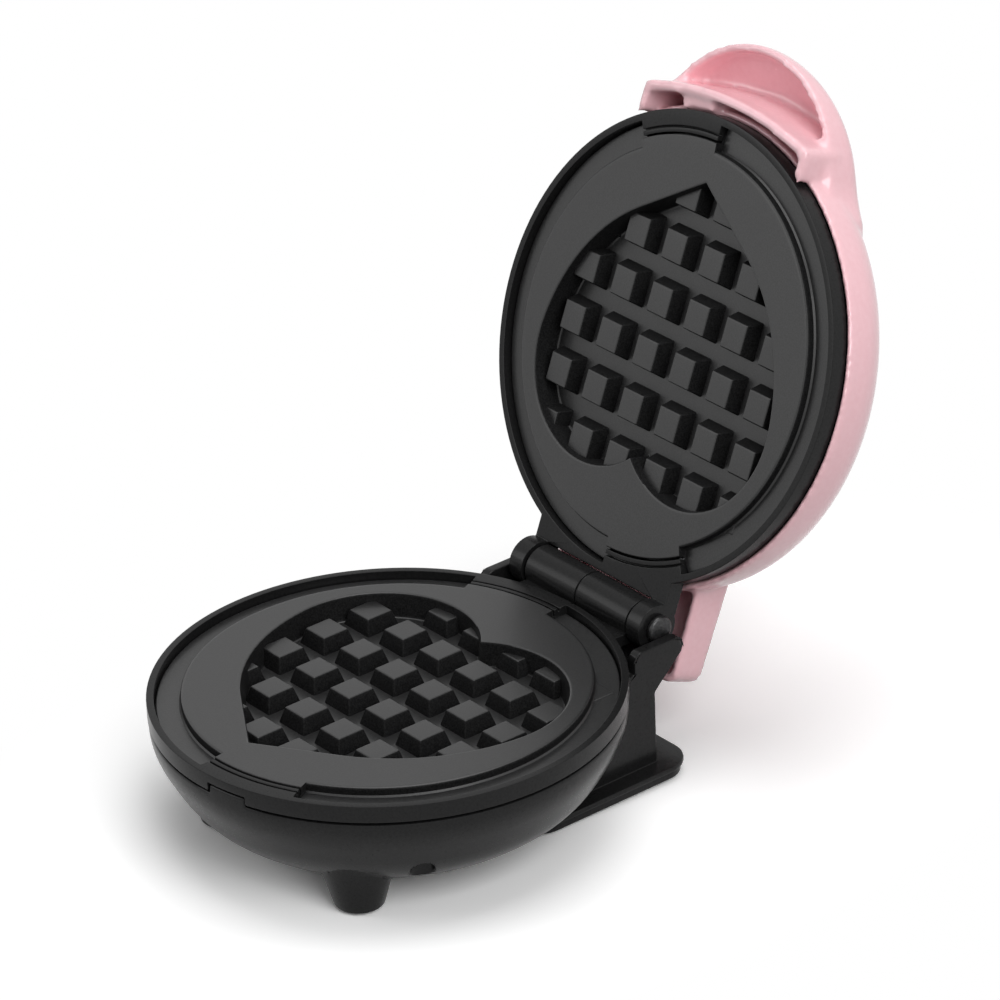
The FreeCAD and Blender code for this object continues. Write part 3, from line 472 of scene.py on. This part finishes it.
def arc_points(start, middle, end, count):
    """Points on the circle's arc from start over middle to end, without the end."""
    ends = (start - middle, end - middle)
    cross = 2 * (ends[0].x * ends[1].y - ends[0].y * ends[1].x)
    squares = [side.length_squared for side in ends]
    centre = middle + Vector((ends[1].y * squares[0] - ends[0].y * squares[1],
                              ends[0].x * squares[1] - ends[1].x * squares[0])) / cross
    first = start - centre
    sweep = first.angle_signed(middle - centre) + (middle - centre).angle_signed(end - centre)
    return [centre + Matrix.Rotation(-sweep * step / count, 2) @ first for step in range(count)]


def heart(grow=0.0):
    """The heart's outline, its tip to the front, scaled so that its half width grows."""
    def shared(shares, length):
        return Vector((shares[0] * HEART_HALF_WIDTH, shares[1] * length))

    tip = Vector((0, -HEART_TIP))
    notch = Vector((0, HEART_NOTCH))
    wide = Vector((HEART_HALF_WIDTH, HEART_WIDE_PLACE))
    straight = shared(HEART_STRAIGHT_SHARES, -HEART_TIP)
    half = [tip.lerp(straight, step / STRAIGHT_POINTS) for step in range(STRAIGHT_POINTS)]
    half += arc_points(straight, shared(HEART_SIDE_SHARES, -HEART_TIP), wide, SIDE_POINTS)
    half += arc_points(wide, shared(HEART_LOBE_SHARES, HEART_NOTCH), notch, LOBE_POINTS)
    mirrored = [Vector((-point.x, point.y)) for point in half[:0:-1]]
    scale = 1 + grow / HEART_HALF_WIDTH
    return [point * scale for point in half + [notch] + mirrored]


print("outline points", len(heart()))

# %% Profiles of recess, trough and pads
QUARTER_STEPS = 4
PAD_STEPS = 8


def quarter(centre, radius, start):
    """Points of a quarter circle, clockwise from a start angle in degrees."""
    turns = [math.radians(start - 90 * step / QUARTER_STEPS) for step in range(QUARTER_STEPS + 1)]
    return [(centre[0] + radius * math.cos(turn), centre[1] + radius * math.sin(turn)) for turn in turns]


# Profiles run as (grow, level) for the recess and as (radius, level) for the trough and the pads.
recess_edge = quarter((-RECESS_ROUND, -RECESS_ROUND), RECESS_ROUND, 90)
recess_profile = [(RECESS_ROUND + SUPPORT, 0)]
recess_profile += [(-across, level) for across, level in recess_edge]
recess_profile += quarter((-RECESS_DRAFT - FLOOR_ROUND, FLOOR_ROUND - RECESS_DEPTH), FLOOR_ROUND, 0)
trough_profile = [(COOKING_RADIUS - FACE_ROUND - SUPPORT, 0)]
trough_profile += quarter((COOKING_RADIUS - FACE_ROUND, -FACE_ROUND), FACE_ROUND, 90)
trough_profile += [(COOKING_RADIUS, SUPPORT - TROUGH_DEPTH), (COOKING_RADIUS + SUPPORT, -TROUGH_DEPTH)]
trough_profile += quarter((FLANGE_RADIUS - SUPPORT, -TROUGH_DEPTH - SUPPORT), SUPPORT, 90)
trough_profile += [(FLANGE_RADIUS, FLANGE_LOW), (COOKING_RADIUS, FLANGE_LOW)]
pad_drop = (FLANGE_LOW + SUPPORT) / PAD_STEPS
pad_profile = trough_profile[:1]
pad_profile += quarter((PAD_RADIUS - SUPPORT, -SUPPORT), SUPPORT, 90)
pad_profile += [(PAD_RADIUS, -SUPPORT + pad_drop * step) for step in range(1, PAD_STEPS + 1)]
pad_profile += trough_profile[-1:]
print("profile points", len(recess_profile), len(trough_profile), len(pad_profile))

# %% Build both plates
# Faces whose normal lies less than this along the plate's axis get the painted shade of the flanks.
SHADE_PAINT_STEEPNESS = 0.7
PLACES = {"lower_plate": lower_place, "upper_plate": upper_place}


def filled(shape, outer, inner):
    """Fills the flat space between two loops of vertices with triangles."""
    edges = []
    for loop in (outer, inner):
        edges += [shape.edges.get(pair) for pair in zip(loop, loop[1:] + loop[:1])]
    bmesh.ops.triangle_fill(shape, use_beauty=True, edges=edges)


def bridged(shape, loops):
    """Joins each closed loop of vertices to the next with quads."""
    for near, far in zip(loops, loops[1:]):
        for index, start in enumerate(near):
            following = (index + 1) % len(near)
            shape.faces.new((start, near[following], far[following], far[index]))


def columns():
    """The angles round a plate, each with its profile. Each end of a pad takes two close columns."""
    for degree in range(360):
        places = [(degree - start) % 360 for start in PAD_STARTS]
        inside = any(0 < place < PAD_SWEEP for place in places)
        if 0 in places:
            yield degree - PAD_EDGE, trough_profile
            yield degree + PAD_EDGE, pad_profile
        elif PAD_SWEEP in places:
            yield degree - PAD_EDGE, pad_profile
            yield degree + PAD_EDGE, trough_profile
        else:
            yield degree, pad_profile if inside else trough_profile


def with_painted_flank_shade(piece, place):
    """Gives the steep faces of a piece of a plate a duller copy of its finish: painted shade."""
    axis = (place.to_3x3() @ Vector((0, 0, 1))).normalized()
    piece.data.materials.append(finishes["plate_flank_painted_shade"])
    # Steep faces get the duller copy of the finish, which paints shade on them.
    painted_shade_faces = [int(abs(face.normal.dot(axis)) < SHADE_PAINT_STEEPNESS) for face in piece.data.polygons]
    piece.data.polygons.foreach_set("material_index", painted_shade_faces)
    return piece


def plate(node, place):
    """One plate in its place."""
    shape = bmesh.new()

    def heart_ring(grow, level):
        return [shape.verts.new((point.x, point.y, level)) for point in heart(grow)]

    recess = [heart_ring(grow, level) for grow, level in recess_profile]
    pan = [heart_ring(PAN_WALL, level) for level in (FLANGE_LOW, -RECESS_DEPTH - PAN_WALL)]
    rings = [[] for point in trough_profile]
    for degree, profile in columns():
        turn = math.radians(degree)
        for ring, (radius, level) in zip(rings, profile):
            ring.append(shape.verts.new((radius * math.cos(turn), radius * math.sin(turn), level)))
    for loops in (recess, rings, pan):
        bridged(shape, loops)
    filled(shape, rings[0], recess[0])
    filled(shape, rings[-1], pan[0])
    for floor_loop in (recess[-1], pan[-1]):
        shape.faces.new(floor_loop)
    bmesh.ops.recalc_face_normals(shape, faces=shape.faces)
    mesh = bpy.data.meshes.new(node + "_cast")
    shape.to_mesh(mesh)
    shape.free()
    mesh.transform(place)
    return with_painted_flank_shade(carried(weighted(added(node + "_cast", mesh)), node), place)


for node, place in PLACES.items():
    piece = plate(node, place)
    print(piece.name, "faces", len(piece.data.polygons))

# %% [markdown]
# ## Pegs
# The pegs press the pockets into the waffle. They stand on one square grid, symmetric from left to right,
# and the heart's wall cuts through the outer ones, as a cutter in the die would leave them. One node tree
# makes a rounded block, leans its sides and sets it on every grid point. The rounding rule: pull a point
# back to the inner block, then push it out again by the radius.

# %% The tree of pegs
PEG_PITCH = 14.0
PEG_SIZES = {"Foot": 10.4, "Top": 7.6, "Height": 4.2, "Sink": 0.6, "Round": 0.55}
PEG_ROWS = {"lower_plate": 8.2, "upper_plate": 4.0}
BLOCK_VERTICES = 7
INNER_SHARE = 1 / 6


def peg_tree():
    """Named sizes in, pegs on the points of the geometry out."""
    tree = bpy.data.node_groups.new("pegs", "GeometryNodeTree")
    face = tree.interface
    face.new_socket("Points", in_out="INPUT", socket_type="NodeSocketGeometry")
    for name, size in PEG_SIZES.items():
        face.new_socket(name, in_out="INPUT", socket_type="NodeSocketFloat").default_value = size
    face.new_socket("Finish", in_out="INPUT", socket_type="NodeSocketMaterial")
    face.new_socket("Pegs", in_out="OUTPUT", socket_type="NodeSocketGeometry")
    given = tree.nodes.new("NodeGroupInput").outputs

    def sums(operation, *values):
        return node_in(tree, "ShaderNodeMath", values, operation=operation).outputs[0]

    def vectors(operation, *values):
        return node_in(tree, "ShaderNodeVectorMath", values, operation=operation).outputs[0]

    def scaled(vector, factor):
        made = node_in(tree, "ShaderNodeVectorMath", (vector,), operation="SCALE")
        tree.links.new(factor, made.inputs["Scale"])
        return made.outputs[0]

    whole = sums("ADD", given["Height"], given["Sink"])
    size = node_in(tree, "ShaderNodeCombineXYZ", (given["Foot"], given["Foot"], whole)).outputs[0]
    radius = node_in(tree, "ShaderNodeCombineXYZ", (given["Round"],) * 3).outputs[0]
    inner = vectors("SUBTRACT", vectors("MULTIPLY", size, (0.5,) * 3), radius)
    block = node_in(tree, "GeometryNodeMeshCube", ((1, 1, 1),) + (BLOCK_VERTICES,) * 3).outputs["Mesh"]
    start = node_in(tree, "GeometryNodeInputPosition").outputs[0]
    apart = vectors("ABSOLUTE", start)
    core = vectors("MULTIPLY", vectors("MINIMUM", apart, (INNER_SHARE,) * 3),
                   vectors("DIVIDE", inner, (INNER_SHARE,) * 3))
    edge = vectors("MAXIMUM", vectors("SUBTRACT", apart, (INNER_SHARE,) * 3), (0, 0, 0))
    rounded_place = vectors("ADD", core, scaled(vectors("NORMALIZE", edge), given["Round"]))
    place = vectors("MULTIPLY", rounded_place, vectors("SIGN", start))
    parts = node_in(tree, "ShaderNodeSeparateXYZ", (place,)).outputs
    rise = sums("ADD", sums("DIVIDE", parts["Z"], whole), 0.5)
    lean = sums("SUBTRACT", 1.0, sums("MULTIPLY", rise, sums("SUBTRACT", 1.0, sums(
        "DIVIDE", given["Top"], given["Foot"]))))
    level = sums("SUBTRACT", sums("MULTIPLY", rise, whole), given["Sink"])
    leaning = node_in(tree, "ShaderNodeCombineXYZ", (
        sums("MULTIPLY", parts["X"], lean), sums("MULTIPLY", parts["Y"], lean), level)).outputs[0]
    peg = node_in(tree, "GeometryNodeSetPosition", (block, None, leaning)).outputs[0]
    placed = node_in(tree, "GeometryNodeInstanceOnPoints", (given["Points"], None, peg)).outputs[0]
    real = node_in(tree, "GeometryNodeRealizeInstances", (placed,)).outputs[0]
    smooth = node_in(tree, "GeometryNodeSetShadeSmooth", (real,)).outputs[0]
    dressed = node_in(tree, "GeometryNodeSetMaterial", (smooth, None, given["Finish"])).outputs[0]
    node_in(tree, "NodeGroupOutput", (dressed,))
    return tree


pegs = peg_tree()
print("tree", pegs.name, "nodes", len(pegs.nodes))

# %% Pegs on both plates
def within(point, outline):
    """Whether a point lies inside an outline."""
    inside = False
    for first, second in zip(outline, outline[1:] + outline[:1]):
        if (first.y > point.y) != (second.y > point.y):
            share = (point.y - first.y) / (second.y - first.y)
            inside ^= point.x < first.x + share * (second.x - first.x)
    return inside


def peg_places(row_place):
    """Grid points whose peg reaches into the heart."""
    reach = PEG_SIZES["Foot"] / 2
    count = math.ceil(COOKING_RADIUS / PEG_PITCH)
    outline = heart()
    for column in range(-count, count):
        for row in range(-count - 1, count + 1):
            centre = Vector(((column + 0.5) * PEG_PITCH, row_place + row * PEG_PITCH))
            corners = [centre + Vector(side) * reach for side in product((-1, 0, 1), repeat=2)]
            if any(within(corner, outline) for corner in corners):
                yield centre.x, centre.y, -RECESS_DEPTH


for node, place in PLACES.items():
    mesh = bpy.data.meshes.new(node + "_pegs")
    mesh.from_pydata(list(peg_places(PEG_ROWS[node])), [], [])
    piece = added(node + "_pegs", mesh)
    stand = piece.modifiers.new("pegs", "NODES")
    stand.node_group = pegs
    for socket in pegs.interface.items_tree:
        if socket.name in PEG_SIZES:
            stand[socket.identifier] = PEG_SIZES[socket.name]
        elif socket.name == "Finish":
            stand[socket.identifier] = finishes[slot_of[node]]
    settled(piece)
    piece.data.transform(place)
    # The steep sides of the pegs get the painted shade of the flanks too.
    with_painted_flank_shade(carried(weighted(piece), node), place)
    print(piece.name, "faces", len(piece.data.polygons))
